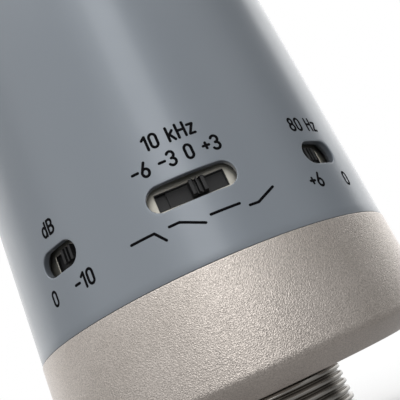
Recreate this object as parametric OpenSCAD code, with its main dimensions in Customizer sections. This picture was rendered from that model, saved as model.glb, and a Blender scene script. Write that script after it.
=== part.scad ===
// Side-address studio microphone.
// A straight painted tube stands on a cast base ring with a threaded stand collar,
// and carries a wire-mesh head with a large-diaphragm capsule.
// The tube's back has three slide switches behind slots.
// Z is up, the address side faces -Y, and z = 0 is the lower end of the collar.

/* [Body] */
// Outer diameter of the painted tube
tube_d = 63.5; // [60:0.5:66]
// Length of the painted tube
tube_len = 100; // [90:1:120]
// Wall thickness of the painted tube
tube_wall = 1.6; // [1.4:0.1:1.8]

/* [Base] */
// Height of the cast base ring, from its underside to the seam
base_h = 17.2; // [16:0.2:20]
// How far the base ring stands proud of the tube, on the radius
base_proud = 0.1; // [0:0.05:0.2]
// Height of the slanted underside
slant_h = 2.6; // [2:0.1:3]
// Diameter of the flat face under the base ring
base_flat_d = 52.6; // [50:0.2:54]
// Thickness of the base ring's floor
floor_t = 5; // [4:0.5:6]

/* [Stand collar] */
// Major diameter of the stand thread
thread_d = 28; // [27:0.1:30]
// Pitch of the stand thread
thread_pitch = 1.25; // [1:0.05:1.5]
// Length of the collar below the base ring
collar_out = 12; // [10:0.5:14]
// Bore that takes the three-pin cable connector
socket_d = 19.2; // [19:0.1:19.6]
// Depth of the connector socket
socket_depth = 15; // [14:0.5:16]

/* [Switches] */
// Height of the slots' centre above the seam
slot_z = 10.5; // [9:0.1:14]
// Height of each slot
slot_h = 3.85; // [3.6:0.05:4]
// Length of the four-way slot
tone_slot_len = 12.8; // [12:0.1:13]
// Length of the two-way slots
side_slot_len = 7.3; // [7:0.1:8]
// Angle between neighbouring switches
switch_angle = 40; // [36:1:44]
// Distance between two switch positions
switch_step = 2; // [1.8:0.1:2]

/* [Head] */
// Height of the ring under the wire mesh
head_ring_h = 9; // [8:0.5:12]
// Height of the straight part of the wire mesh
mesh_h = 46; // [40:1:50]
// Height of the crown ring
crown_h = 4; // [3:0.5:5]
// Height of the domed top
dome_h = 14; // [10:1:18]
// Outer diameter of the capsule
capsule_d = 34; // [30:1:36]

/* [Hidden] */

$fn = 96;
hair = 0.05;    // clearance between fixed pieces
run = 0.08;     // clearance round a sliding piece
past = 1;       // how far a cutter runs past what it cuts

tube_r = tube_d / 2;
tube_in = tube_r - tube_wall;
base_z = collar_out;
seam_z = base_z + base_h;
tube_top = seam_z + tube_len;
base_r = tube_r + base_proud;
floor_top = base_z + floor_t;
base_in = tube_in - 2.2;
lip_h = 4;

collar_r = thread_d / 2;
thread_depth = 0.6;
neck_r = collar_r - 0.25;
crest_w = thread_pitch * 0.25;
top_crest_z = collar_out - 2.24;
crest_count = floor((top_crest_z - 1.4) / thread_pitch) + 1;
socket_r = socket_d / 2;
flange_r = 18;
flange_t = 2.5;
flange_top = floor_top + flange_t;
insert_top = socket_depth + 5.5;
pin_circle_r = 4.75;
pin_angles = [0, 180, 270];

chassis_r = base_in - 0.2;
chassis_t = 2.5;
chassis_top = flange_top + chassis_t;
base_screw_r = 22.3;
base_screw_angles = [30, 150, 270];

plate_t = 4;
plate_z = tube_top - plate_t;
rail_x = 23.5;
rail_w = 3;
rail_d = 9;

board_w = 2 * (rail_x - 0.5);
board_t = 1.6;
board_y = rail_d / 2;
board_z0 = 50;
board_z1 = 120;
board_screw_z = [54, 116];

switch_z = seam_z + slot_z + 0.2;
tone_face_y = 29.3;
side_face_y = 29.6;
frame_t = 0.3;
frame_h = 7;
window_h = 2.5;
housing_d = 4.2;
housing_h = 6;
housing_wall = 0.35;
skirt_t = 0.35;
skirt_h = 3.6;
knob_w = 2.2;
knob_h = 2.2;
knob_rise = 0.8;
rib_rise = 0.5;
rib_pitch = 0.76;
rib_w = 0.4;
terminal_len = 2;
small_board_t = 1;
bracket_t = 0.8;
bracket_y = tone_face_y - frame_t - housing_d - small_board_t - 2.2;

ring_top = tube_top + head_ring_h;
crown_z = ring_top + mesh_h;
crown_top = crown_z + crown_h;
mesh_r = 29.6;
mesh_t = 1.0;
inner_r = 28.2;
inner_t = 0.4;
deck_z = tube_top + 3;
deck_t = 3;
capsule_z = deck_z + 30;
capsule_r = capsule_d / 2;
capsule_t = 7;
lead_y = 7;

// The three switches, each with its angle from +Y, window length, housing length, resting place
// along its own x axis and distance of its face from the tube's axis. Seen from behind, the x
// axis runs to the left.
PAD = [-switch_angle, 6.2, 10.6, -switch_step / 2, side_face_y];
TONE = [0, 10.2, 16, -switch_step / 2, tone_face_y];
MODE = [switch_angle, 6.2, 10.6, switch_step / 2, side_face_y];
SWITCHES = [PAD, TONE, MODE];

// ---------- helpers ----------

// a tube from z0 to z1
module ring(z0, z1, ro, ri) {
    difference() {
        translate([0, 0, z0]) cylinder(r = ro, h = z1 - z0);
        translate([0, 0, z0 - past]) cylinder(r = ri, h = z1 - z0 + 2 * past);
    }
}

// a box given by its centre in x and y and by its two heights
module block(x, y, z0, z1, w, d) {
    translate([x - w / 2, y - d / 2, z0]) cube([w, d, z1 - z0]);
}

// a rod of radius r from point a to point b
module rod(a, b, r) {
    v = b - a;
    len = norm(v);
    translate(a) rotate([0, acos(v[2] / len), atan2(v[1], v[0])]) cylinder(r = r, h = len, $fn = 24);
}

// a smooth line through points, as Catmull-Rom curves of n steps
function spline(p, n) = concat([for (i = [0 : len(p) - 2], k = [0 : n - 1])
    let (a = p[max(i - 1, 0)], b = p[i], c = p[i + 1], d = p[min(i + 2, len(p) - 1)], t = k / n)
    (2 * b + (c - a) * t + (2 * a - 5 * b + 4 * c - d) * t * t + (3 * b - a - 3 * c + d) * t * t * t) / 2],
    [p[len(p) - 1]]);

// a wire of radius r along a smooth line that never runs along x
module wire(points, r) {
    sides = 8;
    line = spline(points, 4);
    last = len(line) - 1;
    vertices = [for (i = [0 : last])
        let (d = line[min(i + 1, last)] - line[max(i - 1, 0)],
            u = cross(d, [1, 0, 0]) / norm(cross(d, [1, 0, 0])),
            v = cross(d, u) / norm(d))
        for (k = [0 : sides - 1]) line[i] + r * (cos(k * 360 / sides) * u + sin(k * 360 / sides) * v)];
    polyhedron(vertices, concat(
        [[for (k = [sides - 1 : -1 : 0]) k]],
        [for (i = [0 : last - 1], k = [0 : sides - 1])
            let (a = i * sides + k, b = i * sides + (k + 1) % sides) [a, b, b + sides, a + sides]],
        [[for (k = [0 : sides - 1]) last * sides + k]]));
}

// a flat bar with round ends, length l in x, height h in z, from y0 to y1
module stadium(l, h, y0, y1) {
    translate([0, y0, 0]) rotate([-90, 0, 0]) linear_extrude(y1 - y0) union() {
        square([l - h, h], center = true);
        for (s = [-1, 1]) translate([s * (l - h) / 2, 0]) circle(d = h, $fn = 48);
    }
}

// a screw lying along -Y, head at y, with a cross-shaped drive
module side_screw(y, r, head_r, length) {
    difference() {
        union() {
            translate([0, y, 0]) rotate([-90, 0, 0]) cylinder(r = head_r, h = head_r * 0.7, $fn = 32);
            translate([0, y - length, 0]) rotate([-90, 0, 0]) cylinder(r = r, h = length, $fn = 24);
        }
        for (a = [0, 90]) rotate([0, a, 0])
            block(0, y + head_r * 0.6, -head_r * 0.6, head_r * 0.6, head_r * 0.25, head_r * 0.6);
    }
}

// moves its children to a switch's place on the tube
module at_switch(s) {
    rotate([0, 0, s[0]]) translate([0, 0, switch_z]) children();
}

// ---------- painted tube and badge ----------

badge_r = 6;
badge_z = tube_top - 22;
badge_in = tube_r - 0.8;

module badge_cut(r, inner) {
    intersection() {
        translate([0, 0, badge_z]) rotate([90, 0, 0]) cylinder(r = r, h = tube_r + past);
        ring(badge_z - r - past, badge_z + r + past, tube_r + past, inner);
    }
}

module body_tube() {
    color("slategray") difference() {
        ring(seam_z, tube_top, tube_r, tube_in);
        for (s = SWITCHES) rotate([0, 0, s[0]]) translate([0, 0, seam_z + slot_z])
            stadium(s == TONE ? tone_slot_len : side_slot_len, slot_h, tube_in - 6, tube_r + past);
        badge_cut(badge_r + hair, badge_in);
    }
}

module front_badge() {
    color("silver") intersection() {
        translate([0, 0, badge_z]) rotate([90, 0, 0]) cylinder(r = badge_r, h = tube_r + past);
        ring(badge_z - badge_r - past, badge_z + badge_r + past, tube_r, badge_in + hair);
    }
}

// ---------- base ring, stand collar and cable socket ----------

module base_ring() {
    color("tan") difference() {
        rotate_extrude() polygon([
            [neck_r + hair, base_z], [base_flat_d / 2, base_z], [base_r, base_z + slant_h],
            [base_r, seam_z], [tube_in - 2 * hair, seam_z], [tube_in - 2 * hair, seam_z + lip_h],
            [base_in, seam_z + lip_h], [base_in, floor_top], [neck_r + hair, floor_top]]);
        for (a = base_screw_angles) rotate([0, 0, a]) translate([base_screw_r, 0, base_z]) {
            translate([0, 0, -past]) cylinder(r = 1.6, h = floor_t + 2 * past, $fn = 32);
            translate([0, 0, -past]) cylinder(r = 3.1, h = past + 2, $fn = 32);
        }
    }
}

module base_screws() {
    color("dimgray") for (a = base_screw_angles) rotate([0, 0, a]) translate([base_screw_r, 0, base_z])
        difference() {
            union() {
                translate([0, 0, 0.2]) cylinder(r = 2.8, h = 1.8, $fn = 32);
                translate([0, 0, 2]) cylinder(r = 1.5, h = 7.4, $fn = 32);
            }
            translate([0, 0, -past]) cylinder(r = 1.3, h = past + 1.4, $fn = 6);
        }
}

// The thread is drawn as rings of its true pitch, major and minor diameter. The neck above it,
// which the base ring clears, is a little slimmer.
module stand_collar() {
    root_r = collar_r - thread_depth;
    crests = [for (i = [crest_count - 1 : -1 : 0]) top_crest_z - i * thread_pitch];
    color("silver") difference() {
        rotate_extrude() polygon(concat(
            [[socket_r + 0.6, 0], [root_r - 0.6, 0], [root_r, 0.6]],
            [for (z = crests) each [[root_r, z - thread_pitch / 2 + 0.1], [collar_r, z - crest_w / 2],
                [collar_r, z + crest_w / 2], [root_r, z + thread_pitch / 2 - 0.1]]],
            [[root_r, collar_out - 0.6], [neck_r, collar_out - 0.4], [neck_r, floor_top],
                [flange_r, floor_top], [flange_r, flange_top], [socket_r, flange_top], [socket_r, 0.6]]));
        translate([0, flange_r + past, floor_top + flange_t / 2]) rotate([90, 0, 0])
            cylinder(r = 0.9, h = flange_r, $fn = 24);
    }
}

module socket_insert() {
    color("black") difference() {
        translate([0, 0, socket_depth]) cylinder(r = socket_r - hair, h = insert_top - socket_depth);
        for (a = pin_angles) rotate([0, 0, a]) translate([pin_circle_r, 0, socket_depth - past])
            cylinder(r = 1.25, h = insert_top, $fn = 32);
        translate([0, socket_r, floor_top + flange_t / 2]) rotate([90, 0, 0])
            cylinder(r = 0.9, h = 2.6, $fn = 24);
        translate([0, 0, socket_depth - past]) cylinder(r = 1.6, h = past + 1, $fn = 32);
    }
}

module contact_pins() {
    color("gold") for (a = pin_angles) rotate([0, 0, a]) translate([pin_circle_r, 0, 0]) {
        translate([0, 0, 3.2]) cylinder(r = 1.2, h = insert_top + 1 - 3.2, $fn = 32);
        translate([0, 0, 2.4]) cylinder(r1 = 0.7, r2 = 1.2, h = 0.8, $fn = 32);
        difference() {
            translate([0, 0, insert_top + 1]) cylinder(r = 1.2, h = 3, $fn = 32);
            translate([0, 0, insert_top + 2]) cylinder(r = 0.8, h = 3, $fn = 32);
        }
    }
}

module insert_screw() {
    color("dimgray") translate([0, 0, floor_top + flange_t / 2]) difference() {
        translate([0, flange_r - 0.4, 0]) rotate([90, 0, 0])
            cylinder(r = 0.85, h = flange_r - 0.4 - 7.2, $fn = 24);
        translate([0, flange_r, 0]) rotate([90, 0, 0]) cylinder(r = 0.45, h = 1.6, $fn = 6);
    }
}

// ---------- chassis ----------

module chassis_floor() {
    color("lightgray") difference() {
        ring(flange_top, chassis_top, chassis_r, 11);
        for (a = base_screw_angles) rotate([0, 0, a]) translate([base_screw_r, 0, flange_top - past])
            cylinder(r = 1.55, h = chassis_t + 2 * past, $fn = 32);
        for (s = [-1, 1]) translate([s * rail_x, 0, flange_top - past])
            cylinder(r = 1.05, h = chassis_t + 2 * past, $fn = 32);
    }
    // bosses that stand on the base ring's floor and take the base screws
    color("lightgray") for (a = base_screw_angles) rotate([0, 0, a]) translate([base_screw_r, 0, 0])
        ring(floor_top, flange_top, 3.4, 1.55);
}

module rail(side) {
    color("lightgray") difference() {
        block(side * rail_x, 0, chassis_top, plate_z, rail_w, rail_d);
        for (z = [chassis_top, plate_z]) translate([side * rail_x, 0, z - 8])
            cylinder(r = 1, h = 16, $fn = 24);
        for (z = board_screw_z) translate([side * rail_x, board_y - 6, z]) rotate([-90, 0, 0])
            cylinder(r = 0.85, h = 6 + past, $fn = 24);
        translate([side * rail_x, rail_d / 2 - 3, switch_z]) rotate([-90, 0, 0])
            cylinder(r = 0.85, h = 3 + past, $fn = 24);
        translate([side * rail_x, 3 - rail_d / 2, 72]) rotate([90, 0, 0])
            cylinder(r = 0.85, h = 3 + past, $fn = 24);
    }
}
module rail_left() { rail(-1); }
module rail_right() { rail(1); }

module rail_screws() {
    color("silver") for (s = [-1, 1]) translate([s * rail_x, 0, 0]) {
        translate([0, 0, flange_top - 1.3]) difference() {
            union() {
                cylinder(r = 1.9, h = 1.3 - hair, $fn = 32);
                cylinder(r = 0.95, h = 9, $fn = 24);
            }
            translate([0, 0, -past]) cylinder(r = 0.7, h = past + 0.8, $fn = 6);
        }
        translate([0, 0, tube_top + hair]) difference() {
            union() {
                cylinder(r = 1.9, h = 1.3, $fn = 32);
                translate([0, 0, -10]) cylinder(r = 0.95, h = 10, $fn = 24);
            }
            translate([0, 0, 0.6]) cylinder(r = 0.7, h = past, $fn = 6);
        }
    }
}

module head_plate() {
    color("lightgray") difference() {
        ring(plate_z, tube_top, tube_in - hair, 9);
        for (s = [-1, 1]) translate([s * rail_x, 0, plate_z - past])
            cylinder(r = 1.05, h = plate_t + 2 * past, $fn = 32);
        for (a = [45 : 90 : 315]) rotate([0, 0, a]) translate([25, 0, plate_z - past])
            cylinder(r = 1.3, h = plate_t + 2 * past, $fn = 32);
    }
}

// ---------- circuit board ----------

module main_board() {
    color("darkgreen") difference() {
        block(0, board_y + hair + board_t / 2, board_z0, board_z1, board_w, board_t);
        for (s = [-1, 1], z = board_screw_z) translate([s * rail_x, board_y - past, z])
            rotate([-90, 0, 0]) cylinder(r = 1.1, h = board_t + 2 * past, $fn = 32);
    }
}

module board_screws() {
    color("silver") for (s = [-1, 1], z = board_screw_z) translate([s * rail_x, 0, z])
        side_screw(board_y + board_t + 2 * hair, 0.8, 1.7, 6.5);
}

can_r = 13;
can_y = -12;
can_z = [57, 86];
module output_transformer() {
    color("gray") translate([0, can_y, 0]) {
        difference() {
            translate([0, 0, can_z[0]]) cylinder(r = can_r, h = can_z[1] - can_z[0]);
            translate([0, 0, can_z[1] - 1]) cylinder(r = can_r - 1.2, h = past + 1);
        }
        pin_z = can_z[0] + 4;
        for (x = [-4, 0, 4]) rod([x, can_r - past, pin_z], [x, board_y - can_y - hair, pin_z], 0.5);
    }
}

strap_z = [68, 76];
strap_t = 0.8;
module transformer_strap() {
    ear_y = -rail_d / 2 - hair - strap_t / 2;
    color("silver") difference() {
        union() {
            translate([0, can_y, 0]) ring(strap_z[0], strap_z[1], can_r + hair + strap_t, can_r + hair);
            for (s = [-1, 1]) block(s * 18, ear_y, strap_z[0], strap_z[1], 14, strap_t);
        }
        translate([0, can_y, strap_z[0] - past]) cylinder(r = can_r + hair, h = 10);
        for (s = [-1, 1]) translate([s * rail_x, ear_y + past, 72]) rotate([90, 0, 0])
            cylinder(r = 1, h = 2 * past, $fn = 24);
    }
}

module strap_screws() {
    color("silver") for (s = [-1, 1]) mirror([0, 1, 0]) translate([s * rail_x, 0, 72])
        side_screw(rail_d / 2 + strap_t + 2 * hair, 0.8, 1.5, 3.6);
}

part_y = board_y + hair + board_t;
module film_capacitors() {
    color("firebrick") for (c = [[-13, 60, 7, 13], [-4, 60, 6, 11], [5, 92, 8, 14]])
        block(c[0], part_y + hair + c[2] / 2, c[1], c[1] + c[3], 7, c[2]);
}

module electrolytic_capacitors() {
    color("navy") for (c = [[-15, 88, 4], [13, 75, 5], [14, 59, 4]])
        translate([c[0], part_y + hair + c[2], c[1]]) {
            cylinder(r = c[2], h = 11, $fn = 48);
            translate([0, 0, -0.6]) cylinder(r = c[2] - 0.4, h = 12.2, $fn = 48);
        }
}

module resistors() {
    color("wheat") for (i = [0 : 7]) translate([-17 + 4.8 * i, part_y + hair + 1.2, 110]) {
        cylinder(r = 1.1, h = 5, $fn = 24);
        translate([0, 0, -1.2]) cylinder(r = 0.3, h = 7.4, $fn = 16);
    }
}

module input_transistor() {
    color("black") translate([-5, part_y + hair + 2.6, 103]) {
        difference() {
            cylinder(r = 2.4, h = 4.6, $fn = 48);
            block(0, -2.8, -past, 6, 6, 2);
        }
        for (x = [-1.2, 0, 1.2]) translate([x, 0, -2]) cylinder(r = 0.25, h = 2.2, $fn = 16);
    }
}

module gain_trimmer() {
    color("royalblue") difference() {
        block(-14, part_y + hair + 2.4, 78, 85, 7, 4.8);
        translate([-14, part_y + 4.2, 81.5]) rotate([-90, 0, 0]) cylinder(r = 1.6, h = 2, $fn = 32);
    }
    color("gold") translate([-14, part_y + 4.2, 81.5]) rotate([-90, 0, 0]) difference() {
        cylinder(r = 1.5, h = 0.6, $fn = 32);
        translate([-2, -0.25, 0.3]) cube([4, 0.5, 1]);
    }
}

module output_leads() {
    color("firebrick") for (i = [0 : 2]) {
        a = pin_angles[i];
        x = pin_circle_r * cos(a);
        y = pin_circle_r * sin(a);
        end_x = x == 0 ? 0 : 0.8 * x;
        wire([[x, y, insert_top + 2.2], [x, y, 30], [end_x, y / 2, 40], [end_x, 0, 48],
            [end_x, 2, 52], [end_x, board_y - 0.4, 53]], 0.6);
    }
}

// ---------- switches ----------

// the sheet-metal frame: a face with a window, and two flanges over the housing
module switch_frame(s) {
    len = min(s[2], 13.8);
    face = s[4];
    flange_d = 3;
    color("silver") at_switch(s) difference() {
        union() {
            block(0, face - frame_t / 2, -frame_h / 2, frame_h / 2, len, frame_t);
            for (z = [-frame_h / 2, frame_h / 2 - frame_t])
                block(0, face - flange_d / 2, z, z + frame_t, len, flange_d);
        }
        block(0, face, -window_h / 2, window_h / 2, s[1], 2);
    }
}
module pad_switch_frame() { switch_frame(PAD); }
module tone_switch_frame() { switch_frame(TONE); }
module mode_switch_frame() { switch_frame(MODE); }

function mouth(s) = s[4] - frame_t - hair;

module switch_housing(s) {
    color("black") at_switch(s) difference() {
        block(0, mouth(s) - housing_d / 2, -housing_h / 2, housing_h / 2, s[2], housing_d);
        block(0, mouth(s), -skirt_h / 2 - run, skirt_h / 2 + run, s[2] - 2 * housing_wall,
            2 * (skirt_t + 2 * run));
    }
}
module pad_switch_housing() { switch_housing(PAD); }
module tone_switch_housing() { switch_housing(TONE); }
module mode_switch_housing() { switch_housing(MODE); }

// A slider is a flat skirt that runs in the housing, and a ribbed knob. The skirt is as long
// as lets it reach both end positions.
module slider(s) {
    reach = s == TONE ? 1.5 * switch_step : 0.5 * switch_step;
    half = s[2] / 2 - housing_wall - reach - 2 * run;
    low = mouth(s) - run - skirt_t;
    high = s[4] + knob_rise;
    color("#202020") at_switch(s) translate([s[3], 0, 0]) {
        block(0, low + skirt_t / 2, -skirt_h / 2, skirt_h / 2, 2 * half, skirt_t);
        block(0, (low + high) / 2, -knob_h / 2, knob_h / 2, knob_w, high - low);
        for (i = [-1 : 1]) block(i * rib_pitch, high, -knob_h / 2, knob_h / 2, rib_w, 2 * rib_rise);
    }
}
module pad_slider() { slider(PAD); }
module tone_slider() { slider(TONE); }
module mode_slider() { slider(MODE); }

// where the terminals of a switch stand
function terminals(s) = [for (i = [0 : (s == TONE ? 5 : 2)]) (i - (s == TONE ? 2.5 : 1)) * 2.4];

module switch_boards() {
    color("darkgreen") for (s = SWITCHES) at_switch(s) translate([0, mouth(s) - housing_d - hair, 0])
        difference() {
            block(0, -small_board_t / 2, -4, 4, s[2] - 1, small_board_t);
            for (x = terminals(s)) translate([x, past, 0]) rotate([90, 0, 0])
                cylinder(r = 0.45, h = small_board_t + 2 * past, $fn = 24);
        }
}

module switch_terminals() {
    color("gold") for (s = SWITCHES) at_switch(s) for (x = terminals(s))
        translate([x, mouth(s) - housing_d - hair, 0]) rotate([90, 0, 0])
            cylinder(r = 0.35, h = terminal_len, $fn = 24);
}

// a bent strip behind the switches, with posts that carry the boards and a foot on each rail
module switch_bracket() {
    strip_h = 8;
    foot_y = rail_d / 2 + hair + bracket_t / 2;
    half = bracket_y * tan(switch_angle / 2);
    end = [bracket_y * sin(switch_angle) + half * cos(switch_angle) / 2,
        bracket_y * cos(switch_angle) - half * sin(switch_angle) / 2];
    foot_w = rail_w + 1.8;
    leg = [rail_x - foot_w / 2 - end[0], foot_y - end[1]];
    color("lightgray") difference() {
        union() {
            for (s = SWITCHES) at_switch(s) {
                post_end = mouth(s) - housing_d - small_board_t - 2 * hair;
                block(0, bracket_y, -strip_h / 2, strip_h / 2, s == TONE ? 2 * half : half, bracket_t);
                for (x = [-1, 1]) translate([x * (s[2] / 2 - 1.8), bracket_y, 2.2])
                    cube([1.2, 2 * (post_end - bracket_y), 1.2], center = true);
                if (s != TONE) block(s[0] / switch_angle * half / 2, bracket_y, -strip_h / 2,
                    strip_h / 2, half, bracket_t);
            }
            for (m = [0, 1]) mirror([m, 0, 0]) translate([0, 0, switch_z]) {
                translate([end[0], end[1], 0]) rotate([0, 0, atan2(leg[1], leg[0])])
                    block(norm(leg) / 2, 0, -strip_h / 2, strip_h / 2, norm(leg) + 0.6, bracket_t);
                block(rail_x, foot_y, -strip_h / 2, strip_h / 2, foot_w, bracket_t);
            }
        }
        for (x = [-1, 1]) translate([x * rail_x, foot_y + past, switch_z]) rotate([90, 0, 0])
            cylinder(r = 1, h = 2 * past, $fn = 24);
    }
}

module bracket_screws() {
    color("silver") for (s = [-1, 1]) translate([s * rail_x, 0, switch_z])
        side_screw(rail_d / 2 + bracket_t + 2 * hair, 0.8, 1.5, 3.6);
}

// ---------- head ----------

module head_ring() {
    color("tan") difference() {
        rotate_extrude() polygon([
            [tube_in - 3, tube_top + hair], [tube_r, tube_top + hair], [tube_r, ring_top - 2],
            [tube_r - 1.4, ring_top], [mesh_r - mesh_t - hair, ring_top],
            [mesh_r - mesh_t - hair, ring_top - 4], [tube_in - 3, ring_top - 4]]);
        ring(ring_top - 3, ring_top + past, mesh_r + hair, inner_r - inner_t - hair);
    }
    color("tan") for (a = [45 : 90 : 315]) rotate([0, 0, a]) difference() {
        translate([25, 0, tube_top + hair]) cylinder(r = 3, h = 4, $fn = 32);
        translate([25, 0, tube_top - past]) cylinder(r = 1.05, h = 8, $fn = 32);
    }
}

module head_screws() {
    color("silver") for (a = [45 : 90 : 315]) rotate([0, 0, a]) translate([25, 0, plate_z]) difference() {
        union() {
            translate([0, 0, -1.4]) cylinder(r = 2.2, h = 1.35, $fn = 32);
            translate([0, 0, -1.4]) cylinder(r = 1, h = 1.4 + plate_t + 3.6, $fn = 32);
        }
        translate([0, 0, -1.4 - past]) cylinder(r = 0.8, h = past + 0.8, $fn = 6);
    }
}

module outer_mesh() {
    color("silver") ring(ring_top - 3 + hair, crown_z + crown_h / 2 - hair, mesh_r, mesh_r - mesh_t);
}

module inner_mesh() {
    color("gray") ring(ring_top - 3 + hair, crown_z + crown_h / 2 - hair, inner_r, inner_r - inner_t);
}

post_w = 6;
post_t = 1.2;
module mesh_post(side) {
    color("silver") intersection() {
        ring(ring_top - 0.5, crown_z + hair * 2, mesh_r + hair + post_t, mesh_r + hair);
        block(side * mesh_r, 0, ring_top + hair, crown_z - hair, 12, post_w);
    }
}
module mesh_post_left() { mesh_post(-1); }
module mesh_post_right() { mesh_post(1); }

module crown_ring() {
    color("tan") difference() {
        rotate_extrude() polygon([
            [inner_r - inner_t - 1.4, crown_z], [tube_r - 0.8, crown_z],
            [tube_r - 0.4, crown_z + 0.4], [tube_r - 0.4, crown_top - 0.8],
            [tube_r - 1.2, crown_top], [inner_r - inner_t - 1.4, crown_top]]);
        ring(crown_z - past, crown_z + crown_h / 2, mesh_r + hair, inner_r - inner_t - hair);
        ring(crown_top - 1, crown_top + past, mesh_r + hair, mesh_r - 2.4);
    }
}

// a dome of radius r and height h over a short straight wall, t thick
module dome_mesh() {
    h = dome_h;
    ro = (mesh_r * mesh_r + h * h) / (2 * h);
    color("silver") difference() {
        union() {
            translate([0, 0, crown_top]) intersection() {
                translate([0, 0, h - ro]) sphere(r = ro, $fn = 128);
                cylinder(r = mesh_r + past, h = h + past);
            }
            translate([0, 0, crown_top - 1 + hair]) cylinder(r = mesh_r, h = 1);
        }
        translate([0, 0, crown_top - 1 - past]) cylinder(r = mesh_r - 2.3, h = 1 + past);
        translate([0, 0, crown_top]) intersection() {
            translate([0, 0, h - ro]) sphere(r = ro - mesh_t, $fn = 128);
            translate([0, 0, -past]) cylinder(r = mesh_r - 2.3, h = h + 2 * past);
        }
    }
}

// ---------- capsule ----------

module deck_isolator() {
    color("black") difference() {
        ring(tube_top + 2 * hair, deck_z - hair, 19, 11);
        for (a = [0 : 30 : 330]) rotate([0, 0, a]) translate([15, 0, tube_top])
            cylinder(r = 1.2, h = 4, $fn = 24);
    }
}

module capsule_deck() {
    color("whitesmoke") difference() {
        ring(deck_z, deck_z + deck_t, 20.5, 3);
        for (x = [-1, 1]) translate([x * 6, 0, deck_z - past])
            cylinder(r = 1.05, h = deck_t + 2 * past, $fn = 24);
        for (y = [-1, 1]) translate([0, y * lead_y, deck_z - past])
            cylinder(r = 1, h = deck_t + 2 * past, $fn = 24);
    }
}

saddle_w = 6;
module capsule_saddle() {
    foot_z = deck_z + deck_t + hair;
    color("#303030") difference() {
        union() {
            block(0, 0, foot_z, foot_z + 2.5, 18, 8);
            block(0, 0, foot_z + 2, capsule_z - capsule_r - 1, 8, saddle_w);
            intersection() {
                translate([0, saddle_w / 2, capsule_z]) rotate([90, 0, 0])
                    cylinder(r = capsule_r + 2.4, h = saddle_w);
                block(0, 0, foot_z, capsule_z - 4, 60, 20);
            }
        }
        translate([0, 20, capsule_z]) rotate([90, 0, 0]) cylinder(r = capsule_r + hair, h = 40);
        for (x = [-1, 1]) translate([x * 6, 0, foot_z - past]) cylinder(r = 1.05, h = 5, $fn = 24);
    }
}

module saddle_screws() {
    color("silver") for (x = [-1, 1]) translate([x * 6, 0, deck_z + deck_t + 2 * hair + 2.5]) difference() {
        union() {
            cylinder(r = 1.8, h = 1.2, $fn = 32);
            translate([0, 0, -5]) cylinder(r = 1, h = 5, $fn = 24);
        }
        translate([0, 0, 0.5]) cylinder(r = 0.7, h = past, $fn = 6);
    }
}

// the drilled backplate pair inside its rim
module capsule_body() {
    color("goldenrod") translate([0, capsule_t / 2, capsule_z]) rotate([90, 0, 0]) difference() {
        cylinder(r = capsule_r, h = capsule_t);
        for (z = [-past, capsule_t - 1.2]) translate([0, 0, z]) for (k = [1 : 3], i = [0 : 6 * k - 1])
            rotate([0, 0, i * 60 / k]) translate([3.6 * k, 0, 0])
                cylinder(r = 0.5, h = 1.2 + past, $fn = 16);
    }
}

module diaphragm(side) {
    color("gold") translate([0, side * (capsule_t / 2 + hair), capsule_z]) rotate([-90 * side, 0, 0]) {
        cylinder(r = 13.6, h = 0.2);
        translate([0, 0, 0.2]) cylinder(r = 1.3, h = 0.7, $fn = 32);
    }
}
module front_diaphragm() { diaphragm(-1); }
module back_diaphragm() { diaphragm(1); }

screw_angles = [15 : 30 : 345];
module clamp_ring(side) {
    color("goldenrod") translate([0, side * (capsule_t / 2 + hair), capsule_z]) rotate([-90 * side, 0, 0])
        difference() {
            ring(0, 1.3, capsule_r, 13.7);
            for (a = screw_angles) rotate([0, 0, a]) translate([15.4, 0, -past])
                cylinder(r = 0.65, h = 4, $fn = 24);
        }
}
module front_clamp_ring() { clamp_ring(-1); }
module back_clamp_ring() { clamp_ring(1); }

module ring_screws() {
    color("silver") for (side = [-1, 1]) translate([0, side * (capsule_t / 2 + hair), capsule_z])
        rotate([-90 * side, 0, 0]) for (a = screw_angles) rotate([0, 0, a]) translate([15.4, 0, 0])
            difference() {
                union() {
                    translate([0, 0, 1.3 + hair]) cylinder(r = 1, h = 0.6, $fn = 24);
                    translate([0, 0, hair]) cylinder(r = 0.6, h = 1.3 + hair, $fn = 16);
                }
                block(0, 0, 1.7, 2.2, 0.3, 2.2);
            }
}

module capsule_leads() {
    tip_y = capsule_t / 2 + hair + 1;
    color("white") for (s = [-1, 1]) wire([[0, s * tip_y, capsule_z], [0, s * 6.5, capsule_z - 2],
        [0, s * 7.2, capsule_z - 9], [0, s * 7.4, capsule_z - 18], [0, s * lead_y, deck_z + deck_t + 3],
        [0, s * lead_y, deck_z], [0, s * lead_y, plate_z], [0, s > 0 ? lead_y : -4, board_z1 + 3],
        [0, s > 0 ? lead_y : 2, board_z1 - 1],
        [0, s > 0 ? part_y + 0.6 : board_y - 0.4, board_z1 - 3]], 0.45);
}

body_tube();
front_badge();
base_ring();
stand_collar();
base_screws();
socket_insert();
contact_pins();
insert_screw();
chassis_floor();
rail_left();
rail_right();
rail_screws();
head_plate();
main_board();
board_screws();
output_transformer();
transformer_strap();
strap_screws();
film_capacitors();
electrolytic_capacitors();
resistors();
input_transistor();
gain_trimmer();
output_leads();
switch_bracket();
bracket_screws();
switch_boards();
pad_switch_frame();
tone_switch_frame();
mode_switch_frame();
pad_switch_housing();
tone_switch_housing();
mode_switch_housing();
switch_terminals();
pad_slider();
tone_slider();
mode_slider();
head_ring();
head_screws();
outer_mesh();
inner_mesh();
crown_ring();
mesh_post_left();
mesh_post_right();
dome_mesh();
deck_isolator();
capsule_deck();
capsule_saddle();
saddle_screws();
capsule_body();
front_diaphragm();
back_diaphragm();
front_clamp_ring();
back_clamp_ring();
ring_screws();
capsule_leads();
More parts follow.
